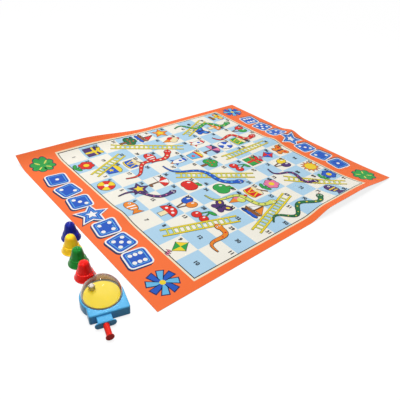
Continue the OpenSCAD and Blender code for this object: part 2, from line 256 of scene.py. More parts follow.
def combine(piece, tool, operation, **settings):
    """Cuts a tool out of a piece, or joins it on, and removes the tool."""
    modify(piece, "BOOLEAN", object=tool, operation=operation, solver="EXACT", **settings)
    bpy.data.objects.remove(tool)


def place(piece, matrix):
    """Puts a piece in its place, which goes into its mesh."""
    take(piece)
    piece.matrix_world = matrix
    bpy.ops.object.transform_apply(location=True, rotation=True, scale=True)


def smooth(piece, angle=38):
    """Shades a piece smooth, apart from edges sharper than an angle in degrees."""
    take(piece)
    bpy.ops.object.shade_smooth_by_angle(angle=math.radians(angle))


def softened(outline, radius, steps=4, least_bend=20, share=0.45):
    """A closed outline with rounded corners, apart from slight ones and those on the axis."""
    rounded = []
    for k, corner in enumerate(outline):
        corner = Vector(corner)
        back = Vector(outline[k - 1]) - corner
        ahead = Vector(outline[(k + 1) % len(outline)]) - corner
        bend = math.degrees(math.pi - back.angle(ahead))
        if bend < least_bend or abs(corner.x) < TINY:
            rounded.append(tuple(corner))
            continue
        reach = min(radius, share * back.length, share * ahead.length)
        start = corner + back.normalized() * reach
        end = corner + ahead.normalized() * reach
        for n in range(steps + 1):
            t = n / steps
            rounded.append(tuple((1 - t) ** 2 * start + 2 * t * (1 - t) * corner + t ** 2 * end))
    return rounded


def ring_of(name, points, filled):
    """A closed ring of vertices at the given points, filled with one face or left open."""
    deselect()
    bpy.ops.mesh.primitive_circle_add(vertices=len(points), fill_type="NGON" if filled else "NOTHING")
    piece = named(name)
    form = open_mesh(piece)
    for vertex, point in zip(form.verts, points):
        vertex.co = point
    close_mesh(piece)
    return piece


def cylinder(radius, low, high):
    """Section (radius, height) of a plain cylinder."""
    return [(0.0, low), (radius, low), (radius, high), (0.0, high)]


def turned(name, outline, steps=72):
    """A piece turned on a lathe about Z, from the closed outline (radius, height) of its section."""
    piece = ring_of(name, [(radius, 0, height) for radius, height in outline], False)
    form = open_mesh(piece)
    pick_edges(form, lambda co: co.x < TINY)
    bpy.ops.mesh.delete(type="EDGE")
    bpy.ops.mesh.select_all(action="SELECT")
    bpy.ops.mesh.spin(steps=steps, angle=math.tau, center=(0, 0, 0), axis=(0, 0, 1))
    bpy.ops.mesh.select_all(action="SELECT")
    bpy.ops.mesh.remove_doubles(threshold=TINY)
    bpy.ops.mesh.normals_make_consistent(inside=False)
    close_mesh(piece)
    return piece


def raised(name, outline, low, high):
    """A flat outline (x, y) drawn up from one height to another."""
    piece = ring_of(name, [(x, y, low) for x, y in outline], True)
    open_mesh(piece)
    bpy.ops.mesh.select_all(action="SELECT")
    bpy.ops.mesh.extrude_region_move(TRANSFORM_OT_translate={"value": (0, 0, high - low)})
    bpy.ops.mesh.select_all(action="SELECT")
    bpy.ops.mesh.normals_make_consistent(inside=False)
    close_mesh(piece)
    return piece


def bevel_where(piece, test, width, segments=4):
    """Rounds the edges of a piece whose two ends pass a test."""
    form = open_mesh(piece)
    pick_edges(form, test)
    bpy.ops.mesh.bevel(offset=width, segments=segments, affect="EDGES", clamp_overlap=True)
    close_mesh(piece)


def box_between(name, low, high):
    """A block between two corners."""
    corners = [(low[0], low[1]), (high[0], low[1]), (high[0], high[1]), (low[0], high[1])]
    return raised(name, corners, low[2], high[2])


# Node helpers

def linear(code):
    """Scene colour of a screen colour given as a hex code."""
    channels = [int(code[k:k + 2], 16) / 255 for k in (1, 3, 5)]
    return tuple(c / 12.92 if c <= 0.04045 else ((c + 0.055) / 1.055) ** 2.4 for c in channels) + (1.0,)


def feed(tree, node, inputs):
    """Sets inputs of a node, each to a plain value or to the output that feeds it."""
    for socket, value in inputs.items():
        if isinstance(value, bpy.types.NodeSocket):
            tree.links.new(value, node.inputs[socket])
        else:
            node.inputs[socket].default_value = value


def put(tree, kind, inputs=None, **settings):
    """Adds a shader node with its settings and inputs."""
    made = tree.nodes.new("ShaderNode" + kind)
    for name, value in settings.items():
        setattr(made, name, value)
    feed(tree, made, inputs or {})
    return made


def sums(tree, operation, *values):
    """Output of a Math node."""
    return put(tree, "Math", dict(enumerate(values)), operation=operation).outputs[0]


def blended(tree, factor, first, second):
    """Output of a colour mix."""
    return put(tree, "Mix", {0: factor, 6: first, 7: second}, data_type="RGBA").outputs[2]


def spread(tree, value, low, high):
    """A value from 0 to 1 spread over another range."""
    return put(tree, "MapRange", {0: value, 3: low, 4: high}).outputs[0]


def noise(tree, where, scale, detail=2.0, roughness=0.5):
    """Output of a noise on the surface, from 0 to 1."""
    inputs = {"Vector": where, "Scale": scale, "Detail": detail, "Roughness": roughness}
    return put(tree, "TexNoise", inputs).outputs[0]


def finish_group(name):
    """An empty group that turns a colour into the colour, roughness and height of a surface."""
    group = bpy.data.node_groups.new(name, "ShaderNodeTree")
    group.interface.new_socket("Color", in_out="INPUT", socket_type="NodeSocketColor")
    for output, kind in (("Color", "Color"), ("Roughness", "Float"), ("Height", "Float")):
        group.interface.new_socket(output, in_out="OUTPUT", socket_type="NodeSocket" + kind)
    source = group.nodes.new("NodeGroupInput").outputs[0]
    result = group.nodes.new("NodeGroupOutput")
    where = put(group, "TexCoord").outputs["Object"]
    return group, source, result, where


def shade_of(tree, color, factor):
    """A colour made lighter or darker by a factor."""
    return put(tree, "VectorMath", {0: color, 3: factor}, operation="SCALE").outputs[0]


def moulded_finish():
    """Injection-moulded plastic: faint flow marks, hairline scuffs and a fine orange peel."""
    group, source, result, where = finish_group("moulded_finish")
    flow = noise(group, where, scale=55.0, detail=3.0)
    stretch = put(group, "Mapping", {"Vector": where, "Rotation": (0.4, 0.3, 0.6), "Scale": (900, 60, 900)})
    scuff = noise(group, stretch.outputs[0], scale=1.0, detail=4.0, roughness=0.7)
    scuffs = put(group, "MapRange", {0: scuff, 1: 0.62, 2: 0.74}).outputs[0]
    peel = noise(group, where, scale=1500.0, detail=1.0)
    dull = sums(group, "MULTIPLY", scuffs, 0.14)
    feed(group, result, {
        "Color": shade_of(group, source, spread(group, flow, 0.93, 1.05)),
        "Roughness": sums(group, "ADD", spread(group, flow, 0.16, 0.3), dull),
        "Height": sums(group, "SUBTRACT", peel, scuffs),
    })
    return group


def printed_finish():
    """Ink on a limp coated sheet: slight mottle, satin gloss and a fine cloth-like emboss."""
    group, source, result, where = finish_group("printed_finish")
    mottle = noise(group, where, scale=900.0)
    cloud = noise(group, where, scale=14.0)
    tone = sums(group, "MULTIPLY", spread(group, mottle, 0.95, 1.04), spread(group, cloud, 0.96, 1.03))
    parts = put(group, "SeparateXYZ", {0: where})
    weave = [sums(group, "SINE", sums(group, "MULTIPLY", parts.outputs[k], WEAVE)) for k in (0, 1)]
    emboss = sums(group, "MULTIPLY", sums(group, "MULTIPLY", *weave), 0.3)
    feed(group, result, {
        "Color": shade_of(group, source, tone),
        "Roughness": spread(group, cloud, 0.42, 0.6),
        "Height": sums(group, "ADD", emboss, mottle),
    })
    return group


def steel_finish():
    """Zinc-plated steel with fine drawing lines."""
    group, source, result, where = finish_group("steel_finish")
    stretch = put(group, "Mapping", {"Vector": where, "Scale": (300, 300, 4000)})
    lines = noise(group, stretch.outputs[0], scale=1.0)
    feed(group, result, {
        "Color": shade_of(group, source, spread(group, lines, 0.85, 1.1)),
        "Roughness": spread(group, lines, 0.25, 0.42),
        "Height": lines,
    })
    return group


# A finish is its node group, the strength of its bump and the bump's depth
MOULDED = moulded_finish(), 0.03, 0.02 * MM
PRINTED = printed_finish(), 0.08, 0.03 * MM
STEEL = steel_finish(), 0.1, 0.02 * MM


def start_material(name):
    """A new material, its node tree and its main shader."""
    material = bpy.data.materials.new(name)
    material.use_nodes = True
    tree = material.node_tree
    return material, tree, tree.nodes["Principled BSDF"]


def add_finish(tree, shader, finish, color):
    """Feeds a shader with the colour, roughness and bump of a finish."""
    group, strength, depth = finish
    skin = put(tree, "Group", {"Color": color}, node_tree=group)
    bump = put(tree, "Bump", {"Height": skin.outputs["Height"], "Strength": strength, "Distance": depth})
    feed(tree, shader, {
        "Base Color": skin.outputs["Color"],
        "Roughness": skin.outputs["Roughness"],
        "Normal": bump.outputs[0],
    })


def plastic(name, code, gloss=PLASTIC_GLOSS, glow=0.0):
    """Moulded plastic with tinted highlights; glow lets light through the wall of a translucent one."""
    material, tree, shader = start_material(name)
    add_finish(tree, shader, MOULDED, linear(code))
    feed(tree, shader, {
        "Specular IOR Level": gloss,
        "Specular Tint": Vector(linear(code)).lerp(Vector(WHITE), HIGHLIGHT_WHITE),
        "Subsurface Weight": glow,
        "Subsurface Radius": (1.0, 1.0, 1.0),
        "Subsurface Scale": GLOW_DEPTH,
    })
    return material


def ink(name, code):
    """One ink of the print."""
    material, tree, shader = start_material("ink_" + name)
    add_finish(tree, shader, PRINTED, linear(code))
    feed(tree, shader, {"Specular IOR Level": PRINT_GLOSS})
    return material


def steel(name, code):
    """Plated steel."""
    material, tree, shader = start_material(name)
    add_finish(tree, shader, STEEL, linear(code))
    feed(tree, shader, {"Metallic": 1.0})
    return material


def mat_print():
    """The sheet itself: chequered field, its outlines, the wide border and the pale back."""
    material, tree, shader = start_material("mat_print")
    parts = put(tree, "SeparateXYZ", {0: put(tree, "TexCoord").outputs["Object"]})
    axes = parts.outputs[0], parts.outputs[1]
    steps = [sums(tree, "FLOOR", sums(tree, "DIVIDE", axis, SQUARE * MM)) for axis in axes]
    odd = sums(tree, "FLOORED_MODULO", sums(tree, "ADD", *steps), 2.0)
    color = blended(tree, odd, linear("#FBF7EA"), linear("#B4D9F1"))
    reach = sums(tree, "MAXIMUM", *[sums(tree, "ABSOLUTE", axis) for axis in axes])
    bands = {FIELD: "#20242A", FIELD + LINE_W: "#FBE9C8", FIELD + LINE_W + FRAME_W: "#FF763A"}
    for start, code in bands.items():
        color = blended(tree, sums(tree, "GREATER_THAN", reach, start * MM), color, linear(code))
    facing = put(tree, "SeparateXYZ", {0: put(tree, "NewGeometry").outputs["Normal"]}).outputs[2]
    color = blended(tree, sums(tree, "LESS_THAN", facing, BACK_FACING), color, linear("#EFECE6"))
    add_finish(tree, shader, PRINTED, color)
    feed(tree, shader, {"Specular IOR Level": PRINT_GLOSS})
    return material


def housing_plastic():
    """Moulded plastic of the housing, with painted shade on the ring of deck that lies under the dome."""
    material, tree, shader = start_material("housing_plastic")
    parts = put(tree, "SeparateXYZ", {0: put(tree, "TexCoord").outputs["Object"]})
    from_axis = [sums(tree, "SUBTRACT", parts.outputs[k], POPPER_AT[k]) for k in (0, 1)]
    squares = [sums(tree, "MULTIPLY", side, side) for side in from_axis]
    radius = sums(tree, "SQRT", sums(tree, "ADD", *squares))
    # Painted shade: the deck ring inside the dome's rim gets a dark brown that stands for the shade it lies
    # in
    inside = sums(tree, "LESS_THAN", radius, DOME_R - DOME_WALL)
    on_deck = sums(tree, "GREATER_THAN", parts.outputs[2], BODY_H - GROOVE_H - TINY)
    color = blended(tree, sums(tree, "MULTIPLY", inside, on_deck), linear("#5CC0F8"), linear("#7A6A48"))
    add_finish(tree, shader, MOULDED, color)
    feed(tree, shader, {"Specular IOR Level": PLASTIC_GLOSS})
    return material


def clear_plastic(name, smoke_and_reflection_tint, clear_up_to, full_tint_from):
    """Clear styrene that lets lamps through; seen at more than a given slant, its front takes a brown tint,
    partly of smoked plastic and partly a painted reflection of a dark room.
    """
    material, tree, shader = start_material(name)
    # Painted reflection: the tint that grows with the slant stands partly for smoked plastic and partly for
    # the dark room a real dome mirrors near its outline
    slant = put(tree, "LayerWeight", {"Blend": 0.5}).outputs["Facing"]
    smoke_and_reflection = put(tree, "MapRange", {0: slant, 1: clear_up_to, 2: full_tint_from}).outputs[0]
    front = sums(tree, "SUBTRACT", 1.0, put(tree, "NewGeometry").outputs["Backfacing"])
    tint = blended(tree, sums(tree, "MULTIPLY", smoke_and_reflection, front), WHITE, linear(smoke_and_reflection_tint))
    feed(tree, shader, {"Base Color": tint, "Roughness": 0.02, "IOR": 1.25, "Transmission Weight": 1.0})
    to_lamp = put(tree, "LightPath").outputs["Is Shadow Ray"]
    clear = put(tree, "BsdfTransparent", {"Color": WHITE})
    mix = put(tree, "MixShader", {0: to_lamp, 1: shader.outputs[0], 2: clear.outputs[0]})
    feed(tree, tree.nodes["Material Output"], {"Surface": mix.outputs[0]})
    return material


# Fitting to the frame

def fit(piece, body, slot, material, *nodes):
    """Gives a finished piece its material and its body, and hides the CAD nodes that it stands for. The slot
    is not used.
    """
    piece.data.materials.clear()
    piece.data.materials.append(material)
    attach(piece, body)
    if nodes:
        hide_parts(*nodes)


def dress(node, material):
    """Gives a CAD node that stays in view its material."""
    for slot in frame["nodes"][node].material_slots:
        slot.material = material


# Play mat

def clamp01(t):
    """A value kept between 0 and 1."""
    return min(1.0, max(0.0, t))


def ease(t):
    """A smooth step from 0 to 1."""
    t = clamp01(t)
    return t * t * (3 - 2 * t)


def hump(t):
    """A bell curve of height 1."""
    return math.exp(-t * t)


def mat_height(x, y):
    """Height of the mat's underside above the floor."""
    u = x + MAT_W / 2
    v = y + MAT_L / 2
    left = LEFT_LIFT * clamp01(1 - u / LEFT_CURL) ** 2 * (1 - ease((v - LEFT_HOLD) / LEFT_FADE))
    right = RIGHT_LIFT * clamp01(1 - (MAT_W - u) / RIGHT_CURL) ** 2
    right *= ease((v - RIGHT_START) / RIGHT_RISE)
    right *= 1 - (1 - RIGHT_LEFT_OVER) * ease((v - RIGHT_END) / RIGHT_FALL)
    fold_x = FOLD_NEAR_X + (FOLD_FAR_X - FOLD_NEAR_X) * (v - FOLD_NEAR_AT) / (MAT_L - FOLD_NEAR_AT)
    fold = FOLD_FAR * ease((v - MAT_L + FOLD_FAR_L) / FOLD_FAR_L)
    fold += FOLD_NEAR * ease(1 - abs(v - FOLD_NEAR_AT) / FOLD_NEAR_L)
    return left + right + fold * hump((x - fold_x) / FOLD_W)


def make_mat():
    """The printed sheet, with its curled and waved edges and its fold line."""
    cells = (round(MAT_W / MAT_CELL), round(MAT_L / MAT_CELL))
    deselect()
    bpy.ops.mesh.primitive_grid_add(x_subdivisions=cells[0], y_subdivisions=cells[1], size=1)
    sheet = named("mat_sheet")
    place(sheet, Matrix.Diagonal((MAT_W, MAT_L, 1, 1)))
    for vertex in sheet.data.vertices:
        vertex.co.z = mat_height(vertex.co.x, vertex.co.y)
    modify(sheet, "SOLIDIFY", thickness=MAT_T, offset=1)
    smooth(sheet)
    return sheet


# Outlines of the print, in millimetres

def moved(points, x=0.0, y=0.0, turn=0.0):
    """Points turned by an angle in degrees and then moved."""
    c = math.cos(math.radians(turn))
    s = math.sin(math.radians(turn))
    return [(x + c * px - s * py, y + s * px + c * py) for px, py in points]


def disc(x, y, rx, ry=None, turn=0.0, sides=20):
    """A circle, or an ellipse turned by an angle."""
    angles = [math.tau * k / sides for k in range(sides)]
    return moved([(rx * math.cos(a), (ry or rx) * math.sin(a)) for a in angles], x, y, turn)


def slab(x, y, w, h, turn=0.0):
    """A rectangle about its middle."""
    return moved([(-w / 2, -h / 2), (w / 2, -h / 2), (w / 2, h / 2), (-w / 2, h / 2)], x, y, turn)


def sector(x, y, r, start, stop, steps=10):
    """A slice of a disc between two angles in degrees."""
    angles = [math.radians(start + (stop - start) * k / steps) for k in range(steps + 1)]
    return [(x, y)] + [(x + r * math.cos(a), y + r * math.sin(a)) for a in angles]


def star(x, y, tips, outer, inner, turn=90.0):
    """A star whose first tip points at an angle in degrees."""
    radii = [outer, inner] * tips
    angles = [math.pi * k / tips for k in range(2 * tips)]
    return moved([(r * math.cos(a), r * math.sin(a)) for r, a in zip(radii, angles)], x, y, turn)


def area_of(outline):
    """Area of an outline, negative where its points run clockwise."""
    return sum(a[0] * b[1] - b[0] * a[1] for a, b in zip(outline, outline[1:] + outline[:1])) / 2


def grown(outline, margin, sharp_limit=0.4):
    """An outline moved outwards by a margin; the limit keeps sharp tips short."""
    side = 1 if area_of(outline) > 0 else -1
    wider = []
    for k, here in enumerate(outline):
        here = Vector(here)
        back = (here - Vector(outline[k - 1])).normalized()
        ahead = (Vector(outline[(k + 1) % len(outline)]) - here).normalized()
        out_back = Vector((back.y, -back.x)) * side
        out_ahead = Vector((ahead.y, -ahead.x)) * side
        reach = margin / max(sharp_limit, 1 + out_back.dot(out_ahead))
        wider.append(tuple(here + (out_back + out_ahead) * reach))
    return wider


def ribbon(route, widths):
    """A band along a route, as wide at each point as its width says."""
    left, right = [], []
    for k, here in enumerate(route):
        heading = Vector(route[min(k + 1, len(route) - 1)]) - Vector(route[max(k - 1, 0)])
        across = Vector((-heading.y, heading.x)).normalized() * widths[k] / 2
        left.append(tuple(Vector(here) + across))
        right.append(tuple(Vector(here) - across))
    return left + right[::-1]


# Pictures of the squares: each is a list of an ink and an outline, painted one over another

def ball(first, second):
    wedges = [((first, second)[k % 2], sector(0, 0, 18, 60 * k, 60 * k + 60)) for k in range(6)]
    return wedges + [("white", disc(0, 0, 5))]


def sparkle(main, middle):
    return [(main, star(0, 0, 5, 23, 11)), (middle, star(0, 0, 5, 12, 6))]


def flower(petal):
    stem = [("green", slab(0, -14, 3.4, 20))]
    leaves = [("green", disc(8, -16, 8, 3.6, 30)), ("green", disc(-8, -18, 8, 3.6, 150))]
    angles = [math.tau * k / 6 for k in range(6)]
    petals = [(petal, disc(10.5 * math.cos(a), 6 + 10.5 * math.sin(a), 7)) for a in angles]
    return stem + leaves + petals + [("yellow", disc(0, 6, 6.5))]


def kite(first, second):
    tips = [(0, 22), (14, 5), (0, -14), (-14, 5)]
    panels = [((first, second)[k % 2], [(0, 5), tips[k], tips[(k + 1) % 4]]) for k in range(4)]
    bows = [("pink", star(-3 + 3 * k, -18 - 4 * k, 2, 5, 1.6, 20)) for k in range(3)]
    return bows + panels


def balloons(first, second):
    strings = [("brown", slab(-4, -12, 1.6, 24, 12)), ("brown", slab(5, -13, 1.6, 22, -14))]
    skins = [(first, disc(-8, 8, 10, 13, 8)), (second, disc(10, 5, 9.5, 12, -10))]
    shines = [("white", disc(-11, 13, 2.2, 4, -20)), ("white", disc(7, 10, 2, 3.6, -20))]
    return strings + skins + shines


def boat(sail):
    wave = [("blue", disc(-12 + 12 * k, -17, 9, 4)) for k in range(3)]
    hull = [("brown", [(-21, -5), (21, -5), (14, -16), (-14, -16)]), ("brown", slab(0, 8, 2, 28))]
    return hull + [(sail, [(2, 22), (19, -2), (2, -2)]), ("white", [(-2, 19), (-2, -2), (-15, -2)])] + wave


def parasol(first, second):
    panels = [((first, second)[k % 2], sector(0, 2, 21, 45 * k, 45 * k + 45)) for k in range(4)]
    return [("brown", slab(0, -9, 2.6, 26)), ("brown", disc(4, -21, 5, 3))] + panels


def fruit(skin):
    stalk = [("brown", slab(1, 15, 2.4, 12, -15)), ("green", disc(8, 17, 8, 4, 25))]
    halves = [(skin, disc(x, -2, 13, 15)) for x in (-6, 6)]
    return stalk + halves + [("white", disc(-10, 4, 2.4, 4, -25))]


def present(paper, tie):
    bow = [(tie, disc(-7, 17, 8, 4.5, -25)), (tie, disc(7, 17, 8, 4.5, 25))]
    return bow + [(paper, slab(0, -3, 34, 30)), (tie, slab(0, -3, 7, 30)), (tie, slab(0, 4, 34, 5))]


def fish(skin, stripe):
    tail = [(skin, [(9, 0), (22, 12), (22, -12)])]
    body = [(skin, disc(-4, 0, 18, 12)), (stripe, slab(-3, 0, 4, 20)), (stripe, slab(6, 0, 3.4, 14))]
    return tail + body + [("white", disc(-14, 3, 3.2)), ("black", disc(-14.6, 3, 1.5))]


def toadstool(cap):
    dots = [("white", disc(x, y, 3.2)) for x, y in ((-10, 6), (0, 12), (10, 6))]
    return [("cream", slab(0, -9, 12, 20)), (cap, sector(0, -2, 21, 0, 180))] + dots


def rocket(nose):
    fins = [(nose, [(s * 6, -8), (s * 15, -18), (s * 6, -16)]) for s in (-1, 1)]
    fire = [("orange", [(-6, -15), (6, -15), (0, -26)]), ("yellow", [(-3, -15), (3, -15), (0, -21)])]
    hull = [("white", disc(0, 0, 9, 20)), (nose, sector(0, 8, 9, 20, 160)), ("blue", disc(0, 1, 4))]
    return fire + fins + hull


def ice_cream(first, second):
    cone = [("orange", [(-10, -2), (10, -2), (0, -25)])]
    scoops = [(first, disc(-6, 3, 9)), (second, disc(6, 3, 9)), ("cream", disc(0, 12, 8.5))]
    return cone + scoops + [("red", disc(0, 21, 3.4))]


def drum(side, band):
    body = [(side, slab(0, -4, 34, 22)), (band, disc(0, -15, 17, 5)), (side, disc(0, -12, 17, 5))]
    laces = [(band, slab(9 * k, -4, 2.6, 20, 20 if k else -20)) for k in (-1, 0, 1)]
    return body + [("cream", disc(0, 8, 17, 6))] + laces + [("brown", slab(6, 17, 2.4, 24, -50))]


def butterfly(wing, spot_ink):
    upper = [(wing, disc(s * 11, 7, 11, 8, s * 35)) for s in (-1, 1)]
    lower = [(wing, disc(s * 8, -8, 8, 6, -s * 35)) for s in (-1, 1)]
    spots = [(spot_ink, disc(s * 12, 8, 4.5, 3.2, s * 35)) for s in (-1, 1)]
    return upper + lower + spots + [("navy", disc(0, 0, 2.4, 13))]


def fruit_tree(crown, berries):
    leaves = [(crown, disc(x, y, 11)) for x, y in ((-9, 3), (9, 3), (0, 12))]
    dots = [(berries, disc(x, y, 2.4)) for x, y in ((-10, 4), (2, 14), (9, 1), (-1, 5))]
    return [("brown", slab(0, -14, 7, 18))] + leaves + dots


def cherries():
    stalks = [("green", slab(-4, 6, 1.8, 24, -18)), ("green", slab(6, 7, 1.8, 22, 20))]
    leaf = [("green", disc(8, 19, 9, 4, 15))]
    skins = [("red", disc(-8, -8, 10)), ("red", disc(11, -6, 9))]
    shines = [("white", disc(x, y, 2, 3)) for x, y in ((-11, -5), (8, -3))]
    return stalks + leaf + skins + shines


def sunshine():
    return [("orange", star(0, 0, 12, 23, 14)), ("yellow", disc(0, 0, 14))]


def cup():
    ears = [("orange", disc(s * 13, 10, 7, 8)) for s in (-1, 1)]
    holes = [("cream", disc(s * 13, 10, 3.4, 4.4)) for s in (-1, 1)]
    bowl = [("yellow", sector(0, 18, 15, 180, 360)), ("yellow", slab(0, -2, 5, 14))]
    foot = [("brown", slab(0, -13, 24, 8))]
    return ears + holes + bowl + foot + [("red", star(0, 11, 5, 6, 2.6))]


def pail(body, trim):
    sand = [("yellow", disc(0, 8, 15, 7))]
    bucket = [(body, [(-16, 8), (16, 8), (11, -20), (-11, -20)]), (trim, slab(0, 6, 33, 5))]
    return sand + bucket + [(trim, star(0, -8, 5, 7, 3))]


PICTURES = {
    2: flower("red"), 4: ball("red", "yellow"), 6: fish("orange", "white"), 9: kite("green", "yellow"),
    14: toadstool("red"), 16: sparkle("purple", "yellow"), 18: pail("blue", "yellow"),
    20: present("purple", "yellow"), 23: drum("blue", "yellow"), 25: parasol("red", "white"),
    27: balloons("blue", "orange"), 28: cherries(), 33: butterfly("purple", "yellow"), 35: fruit("red"),
    38: fish("red", "white"), 40: fruit_tree("dark_green", "red"), 41: boat("red"), 44: rocket("blue"),
    47: fruit("green"), 48: ice_cream("pink", "lime"), 49: boat("orange"), 53: drum("red", "yellow"),
    56: fruit_tree("green", "red"), 57: pail("sky", "red"), 59: ice_cream("red", "cream"),
    60: sparkle("orange", "yellow"), 63: rocket("red"), 64: parasol("purple", "pink"), 66: cherries(),
    68: flower("pink"), 75: present("green", "red"), 77: ball("blue", "white"), 79: butterfly("blue", "sky"),
    82: toadstool("orange"), 84: drum("green", "yellow"), 86: kite("red", "blue"),
    87: balloons("yellow", "purple"), 90: fish("purple", "yellow"), 92: flower("blue"), 93: sunshine(),
    95: butterfly("orange", "red"), 98: balloons("red", "green"), 100: cup(),
}
PICTURE_SCALE = 1.15
PICTURE_R = 21.0

# Each ladder is a low and a high square
LADDERS = [(3, 22), (8, 32), (21, 58), (36, 67), (31, 69), (62, 81), (65, 96), (73, 91)]
LADDER_W = 20.0
LADDER_ROOM = 2.0
RUNG_STEP = 13.0
RUNG_T = 2.8
RUNG_EDGE = 1.0
RAIL_T = 3.4
RAIL_EDGE = 1.1

# Each snake is the squares of its head and tail, two inks, its width and its half waves
SNAKES = [
    (97, 78, "red", "cream", 13, 3), (99, 61, "green", "lime", 12, 4), (89, 74, "purple", "pink", 9, 3),
    (54, 37, "blue", "sky", 12, 3), (52, 34, "lime", "dark_green", 11, 3), (43, 17, "red", "cream", 13, 3),
    (71, 50, "dark_green", "yellow", 11, 4), (26, 5, "purple", "pink", 9, 2),
    (29, 11, "orange", "red", 11, 2),
]
SWAY = 14.0
SNAKE_STEP = 5.0
SNAKE_TAPER = 0.82
SNAKE_ROOM = 1.0
MARK_STEP = 3
MARK_SHARE = 0.24
HEAD_SHARE = 0.95
HEAD_NARROW = 0.72
HEAD_AHEAD = 2.0
TONGUE_SHARE = 1.1
TONGUE_W = 1.8
EYE_R = 2.3
EYE_AHEAD = 0.4
EYE_ASIDE = 0.34
PUPIL_R = 1.2
PUPIL_AHEAD = 0.6
DOT_SIDES = 12

INKS = {
    "black": "#1C1D21", "white": "#FBFAF6", "cream": "#F8E7B8", "red": "#DE2B22", "orange": "#F08A2A",
    "yellow": "#F7D931", "lime": "#DDE36B", "olive": "#8C9A35", "green": "#2FA248", "dark_green": "#1E6B3C",
    "sky": "#69BCEB", "blue": "#1F59C4", "navy": "#1B2350", "purple": "#4B2A6B", "brown": "#8A5428",
    "pink": "#EE7FA6",
}
shapes = {name: [] for name in INKS}
in_the_way = []


def spot(number):
    """Middle of a numbered square; the rows run to and fro from the near left."""
    row, step = divmod(number - 1, SIDE)
    column = step if row % 2 == 0 else SIDE - 1 - step
    return Vector(((column + 0.5) * SQUARE - FIELD, (row + 0.5) * SQUARE - FIELD))


def draw(name, outline, layer, edge=0.0, edge_ink="black", edge_layer=None):
    """Records one shape of the print and, below it, its wider outline."""
    shapes[name].append((outline, layer))
    if edge:
        shapes[edge_ink].append((grown(outline, edge), layer - 1 if edge_layer is None else edge_layer))


def draw_pictures():
    """The pictures, each over the middle of its square."""
    for number, picture in PICTURES.items():
        middle = spot(number)
        in_the_way.append((middle, PICTURE_R))
        for k, (name, outline) in enumerate(picture):
            layer = LAYERS["picture"] + 1 + k
            larger = [(x * PICTURE_SCALE, y * PICTURE_SCALE) for x, y in outline]
            draw(name, moved(larger, *middle), layer, EDGE, edge_layer=LAYERS["picture"])


def draw_ladder(low, high):
    """A ladder from the middle of one square to another: its rungs, and two rails over them."""
    foot, top = spot(low), spot(high)
    along = (top - foot).normalized()
    across = Vector((-along.y, along.x)) * LADDER_W / 2
    turn = math.degrees(math.atan2(along.y, along.x))
    length = (top - foot).length
    layer = LAYERS["ladder"] + 1
    for k in range(1, int(length / RUNG_STEP)):
        rung = foot + along * k * RUNG_STEP
        draw("lime", slab(*rung, RUNG_T, LADDER_W, turn), layer, RUNG_EDGE, "olive")
        in_the_way.append((rung, LADDER_W / 2 + LADDER_ROOM))
    for rail in (foot + across, foot - across):
        middle = rail + along * length / 2
        draw("yellow", slab(*middle, length, RAIL_T, turn), layer + 1, RAIL_EDGE, "olive", layer - 1)


def draw_head(at, facing, skin, width, layer):
    """The head of a snake of some width, with its tongue and its eyes."""
    turn = math.degrees(math.atan2(facing.y, facing.x))
    ahead = facing.normalized()
    aside = Vector((-ahead.y, ahead.x))
    draw("red", slab(*(at + ahead * width), width * TONGUE_SHARE, TONGUE_W, turn), layer - 1)
    face = disc(*(at + ahead * HEAD_AHEAD), width * HEAD_SHARE, width * HEAD_NARROW, turn)
    draw(skin, face, layer + 2, EDGE, edge_layer=layer - 1)
    for side in (-1, 1):
        eye = at + ahead * width * EYE_AHEAD + aside * side * width * EYE_ASIDE
        draw("white", disc(*eye, EYE_R, sides=DOT_SIDES), layer + 3)
        draw("black", disc(*(eye + ahead * PUPIL_AHEAD), PUPIL_R, sides=DOT_SIDES), layer + 4)


def draw_snake(head, tail, skin, marks, width, waves):
    """A spotted snake that winds from the square of its head to the square of its tail."""
    start, end = spot(head), spot(tail)
    along = (end - start).normalized()
    across = Vector((-along.y, along.x))
    length = (end - start).length
    steps = int(length / SNAKE_STEP)
    route, widths = [], []
    for k in range(steps + 1):
        t = k / steps
        route.append(start + along * t * length + across * SWAY * math.sin(math.pi * waves * t))
        widths.append(width * (1 - SNAKE_TAPER * t ** 2))
        in_the_way.append((route[-1], widths[-1] / 2 + SNAKE_ROOM))
    layer = LAYERS["snake"] + 1
    draw(skin, ribbon(route, widths), layer, EDGE)
    for k in range(MARK_STEP, steps - 2, MARK_STEP):
        draw(marks, disc(*route[k], MARK_SHARE * widths[k], sides=DOT_SIDES), layer + 1)
    draw_head(start, route[0] - route[2], skin, width, layer)


# Pips of each face of a die, in steps from the middle of the face
PIPS = {
    1: [(0, 0)],
    2: [(-1, -1), (1, 1)],
    3: [(-1, -1), (0, 0), (1, 1)],
    4: [(-1, -1), (1, 1), (-1, 1), (1, -1)],
    5: [(-1, -1), (1, 1), (0, 0), (-1, 1), (1, -1)],
    6: [(-1, -1), (1, 1), (-1, 1), (1, -1), (-1, 0), (1, 0)],
}

# Border of each end: a row of dice faces, where zero is a star, between two corner ornaments
TILE_ROW = [1, 2, 3, 0, 4, 5, 6]
TILE = 46.0
TILE_STEP = 58.0
TILE_TILT = 8.0
TILE_CORNER = 8.0
TILE_EDGE = 3.4
TILE_BAND = 4.5
TILE_LINE = 1.6
PIP_STEP = 11.0
PIP_R = 4.6
STAR_Y = -2.0
STAR_R = (34.0, 16.0)
STAR_BAND = 4.0
STAR_HEART_R = (14.0, 6.5)
ORNAMENT_X = 255.0
ORNAMENT_EDGE = 2.2
SHADOW = Vector((3.2, -4.2))


def put_down(side, name, outline, layer, margin=0.0):
    """Draws a shape of the border at one end of the mat; side -1 is the near end."""
    outline = grown(outline, margin) if margin else outline
    draw(name, [(-side * x, side * (BORDER_Y - y)) for x, y in outline], layer)


